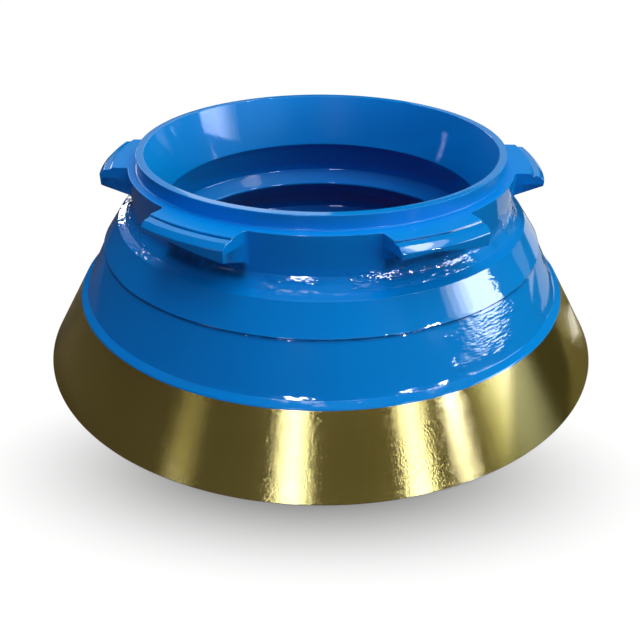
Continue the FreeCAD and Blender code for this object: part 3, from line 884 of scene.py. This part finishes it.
def bare_steel():
    """Oiled turned steel with grooves round the cone, darkened by oil smears and a painted dark reflection.
    """
    seat = Finish("bare_turned_steel")
    grooves = seat.cloud(seat.stretched(3.0, 700.0))
    bands = seat.cloud(seat.stretched(1.5, 60.0), detail=3.0)
    grain = seat.cloud(seat.place(), 420.0, detail=0.0)
    stain = seat.cloud(seat.stretched(5.0, 9.0), detail=3.0).between(0.3, 0.75)
    colour = seat.tint(stain * 0.7 + bands * 0.3, BRIGHT_STEEL, STAINED_STEEL)
    seat.shine(
        # The smears darken the steel: oil, and on the right a painted dark reflection
        Base_Color=seat.tint(seat.mask("oil_and_painted_reflection"), colour, PAINTED_REFLECTION_AND_OIL_STEEL),
        Metallic=0.80, Specular_IOR_Level=0.0,
        Roughness=0.15 + 0.06 * grain + 0.04 * grooves + 0.03 * bands,
        Anisotropic=1.0, Anisotropic_Rotation=0.25,
        Coat_Weight=0.3, Coat_Roughness=0.05,
        Normal=seat.relief(grain + 0.2 * grooves, GRAIN_RELIEF),
    )
    print("bare turned steel: %d nodes" % len(seat.tree.nodes))
    return seat.material


casting_mesh.materials.append(blue_paint())
casting_mesh.materials.append(bare_steel())

# %% [markdown]
# ## Floor
# The photograph is a studio shot on white, with only a soft shadow near the part. A
# floor lit by the lamps would take their colours and their shadows too, so this one
# glows by itself, and its glow fades in an oval in front of the part: a painted
# shadow. Pale walls far off stand for the rest of the studio in views from lower down.

# %% White floor and walls
SHADOW_AHEAD, SHADOW_SPREAD, SHADOW_GLOW = 0.50, (0.64, 0.285, 1.0), 0.02
FLOOR_HALF, WALL_HEIGHT = 14.0, 12.0


def white_floor():
    """White board whose glow grows with the distance from the painted shadow's middle, over its spread."""
    board = Finish("white_floor")
    from_middle = board.change("ADD", board.place(), (0, SHADOW_AHEAD, 0))
    scaled = board.change("DIVIDE", from_middle, SHADOW_SPREAD)
    across = board.node("VectorMath", output="Value", settings={"operation": "LENGTH"}, _0=scaled)
    glow = board.tint(across.between(0.0, 1.0), (SHADOW_GLOW,) * 3, (1, 1, 1))
    board.shine(
        Base_Color=(0.02, 0.02, 0.02, 1), Roughness=1.0, Specular_IOR_Level=0.0,
        Emission_Color=glow, Emission_Strength=1.0,
    )
    return board.material


floor_corners = [(-FLOOR_HALF, -FLOOR_HALF, -MM), (FLOOR_HALF, -FLOOR_HALF, -MM),
                 (FLOOR_HALF, FLOOR_HALF, -MM), (-FLOOR_HALF, FLOOR_HALF, -MM)]
wall_tops = [(x, y, WALL_HEIGHT) for x, y, _ in floor_corners]
walls = [(side, side + 4, (side + 1) % 4 + 4, (side + 1) % 4) for side in range(4)]
floor_mesh = bpy.data.meshes.new("floor")
floor_mesh.from_pydata(floor_corners + wall_tops, [], [(0, 1, 2, 3)] + walls)
floor_mesh.materials.append(white_floor())
floor = bpy.data.objects.new("floor", floor_mesh)
bpy.context.scene.collection.objects.link(floor)
floor.visible_glossy = floor.visible_diffuse = floor.visible_shadow = False
print("floor: %.0f m square" % (2 * FLOOR_HALF))

# %% [markdown]
# ## Camera
# The rings of the casting are true circles, so the ovals that they make in the
# photograph give away where the camera stood. Its place was fitted to them, and the
# whole studio is turned by the same small angle as the camera.

# %% Camera, from the fit of the photograph's rings
CAMERA_PITCH, CAMERA_ROLL = 31.43, 0.15
CAMERA_PLACE = Vector((-0.0022, -1.4937, 0.9076))
photo_turn = Matrix.Rotation(math.radians(CAMERA_TURN), 4, "Z")
camera_data = bpy.data.cameras.new("camera")
camera_data.lens, camera_data.sensor_width = 42.0, 36.0
camera_data.clip_start, camera_data.clip_end = 0.05, 60.0
camera = bpy.data.objects.new("camera", camera_data)
tilt = Matrix.Rotation(math.radians(90 - CAMERA_PITCH), 4, "X")
roll = Matrix.Rotation(math.radians(CAMERA_ROLL), 4, "Z")
camera.matrix_world = photo_turn @ Matrix.Translation(CAMERA_PLACE) @ tilt @ roll
bpy.context.scene.collection.objects.link(camera)
bpy.context.scene.camera = camera
print("camera: %.3f m from the origin" % CAMERA_PLACE.length)

# %% [markdown]
# ## Lamps
# Soft boxes stand round the part: a broad one on the right whose left side fades,
# narrow ones in front for the streaks on the bare seat, and one behind on the left.
# A gloss surface shows each lamp as a mirrored shape, and a lamp that gives the
# right highlight seldom gives the right shade. So each lights either the gloss or
# the colour under it, and the two can be set apart.

# %% Lamps given by the angles they fill
LAMP_DISTANCE, AIM_HEIGHT = 8.0, 0.2


def hang_lamp(name, place, turn, size, radiance, seen, colour):
    """A rectangular lamp. Its power is the radiance times pi times its area.

    Its place is in the photograph's frame. Seen says what it lights: the gloss,
    or the colour under it.
    """
    lamp = bpy.data.lights.new(name, "AREA")
    lamp.shape = "RECTANGLE"
    lamp.size, lamp.size_y = size
    lamp.energy = radiance * math.pi * size[0] * size[1]
    lamp.color = colour
    holder = bpy.data.objects.new(name, lamp)
    holder.matrix_world = photo_turn @ Matrix.Translation(place) @ turn
    holder.visible_glossy, holder.visible_diffuse = seen == "glossy", seen == "diffuse"
    holder.visible_camera = False
    bpy.context.scene.collection.objects.link(holder)


def soft_box(name, azimuth, spread, low, high, radiance, seen="glossy", blue=1.0, green=1.0):
    """An upright lamp far off, given by the angles it fills.

    azimuth is its middle in degrees to the right of the camera's side, spread its
    width in degrees, low and high the heights of its edges in degrees. A height is
    the distance times its tangent, above the aim. Blue and green are shares
    against red.
    """
    width = 2 * LAMP_DISTANCE * math.tan(math.radians(spread / 2))
    foot, top = (LAMP_DISTANCE * math.tan(math.radians(height)) + AIM_HEIGHT for height in (low, high))
    angle = math.radians(azimuth)
    place = Vector((math.sin(angle), -math.cos(angle), 0)) * LAMP_DISTANCE
    aim = (-place).to_track_quat("-Z", "Y").to_matrix().to_4x4()
    place.z = (foot + top) / 2
    hang_lamp(name, place, aim, (width, top - foot), radiance, seen, (1, green, blue))


def flat_lamp(name, place, size, radiance, seen="glossy", blue=1.0):
    """A level lamp, in metres: facing up from the floor, or down from overhead."""
    over = Matrix.Rotation(math.pi if place[2] < 1 else 0, 4, "X")
    hang_lamp(name, place, over, size, radiance, seen, (1, 1, blue))


# %% Lamps that the gloss and the bare steel mirror
COOL_GREEN, COOL_BLUE = 1.1, 1.7
RIGHT_BOX_TOP = 29
# The right box's leaves: left and right edge and foot in degrees, radiance and share of blue
RIGHT_BOX_LEAVES = [
    (65, 96.5, 9.5, 0.7, 1.2), (68.5, 96, 8.0, 1.1, 1.2), (72, 95.5, 6.6, 1.5, 1.5),
    (75.5, 95, 6.4, 1.5, 2.0), (79, 94, 6.2, 1.4, 2.4),
]
for left, right, low, radiance, blue in RIGHT_BOX_LEAVES:
    middle, spread = (left + right) / 2, right - left
    name = "right_box_%d" % left
    soft_box(name, middle, spread, low, RIGHT_BOX_TOP, radiance, blue=blue, green=COOL_GREEN)
soft_box("right_box_top", 74, 24, 49.5, 62, 1.6)
soft_box("right_box_top_core", 73, 13, 53, 61, 3.8)
soft_box("front_strip", -10.7, 8.5, 24.5, 29, 30.0, blue=COOL_BLUE, green=COOL_GREEN)
soft_box("front_strip_low", -10.2, 8.5, 1, 9.5, 22.0, blue=COOL_BLUE, green=COOL_GREEN)
soft_box("front_right_strip", 37.0, 7.5, 24.5, 29, 30.0, blue=COOL_BLUE, green=COOL_GREEN)
soft_box("front_right_strip_low", 34.8, 7.5, 1, 9.5, 22.0, blue=COOL_BLUE, green=COOL_GREEN)
soft_box("right_strip", 55.0, 4, 19, 24, 72.0, blue=2.2, green=COOL_GREEN)
soft_box("front_left_strip", -51, 9, 1, 9.5, 2.0)
soft_box("back_left_box", -147, 8, 17, 40, 3.2)
soft_box("back_left_low", -148, 8, 4, 17, 9.0)
soft_box("back_left_dashes", -133, 5, 34, 41, 4.0)
soft_box("back_left_wall", -155, 40, 17, 42, 0.32)
soft_box("back_right_wall", 164, 16, 13, 23, 0.32)
soft_box("right_horizon", 124, 20, 0, 6, 0.25)
soft_box("back_strip", -174, 14, 19, 28, 0.8)
soft_box("ceiling_strip", 0, 100, 68, 80, 1.8)
flat_lamp("right_floor_glow", (1.5, 1.6, 0.001), (1.5, 1.9), 0.8)
flat_lamp("right_floor_low", (1.05, 0.48, 0.001), (0.60, 0.34), 0.5)
flat_lamp("right_near_glow", (0.69, 0.03, 0.001), (0.11, 0.13), 1.5)
flat_lamp("left_floor_glow", (-0.93, 0.25, 0.001), (0.62, 1.5), 0.04)

# %% Lamps that light the paint's colour
soft_box("left_high_fill", -67, 84, 50, 62, 1.8, "diffuse")
soft_box("left_low_fill", -45, 40, 1, 10, 0.7, "diffuse")
soft_box("front_low_fill", 0, 40, 1, 10, 2.7, "diffuse")
soft_box("front_right_low_fill", 45, 40, 1, 10, 4.1, "diffuse", 0.85)
soft_box("front_right_high_fill", 45, 40, 36, 62, 3.0, "diffuse")
soft_box("right_low_fill", 85, 40, 1, 32, 2.8, "diffuse", 0.62)
soft_box("right_high_fill", 85, 40, 36, 62, 3.3, "diffuse", 0.5)
soft_box("back_right_fill", 140, 30, 5, 30, 0.8, "diffuse", 0.7)
soft_box("back_left_fill", -142, 25, 10, 35, 2.4, "diffuse")
soft_box("back_high_fill", 180, 60, 36, 60, 1.4, "diffuse", 0.4)
flat_lamp("overhead", (0, 0, 3.4), (1.8, 1.8), 4.0, "diffuse", 0.85)
flat_lamp("overhead_right", (1.2, -0.3, 3.2), (1.4, 1.4), 1.3, "diffuse", 0.5)
flat_lamp("overhead_front", (0, -1.3, 3.2), (1.4, 1.4), 1.0, "diffuse")
print("lamps: %d" % len(bpy.data.lights))

# %% The dark studio beyond the lamps, and plain colours
STUDIO_COLOUR, STUDIO_STRENGTH = (1.0, 0.45, 0.7, 1), 0.02
world = bpy.data.worlds.new("studio")
world.use_nodes = True
background = world.node_tree.nodes["Background"]
background.inputs["Color"].default_value = STUDIO_COLOUR
background.inputs["Strength"].default_value = STUDIO_STRENGTH
bpy.context.scene.world = world
bpy.context.scene.view_settings.view_transform = "Standard"
print("studio: strength %.2f" % STUDIO_STRENGTH)
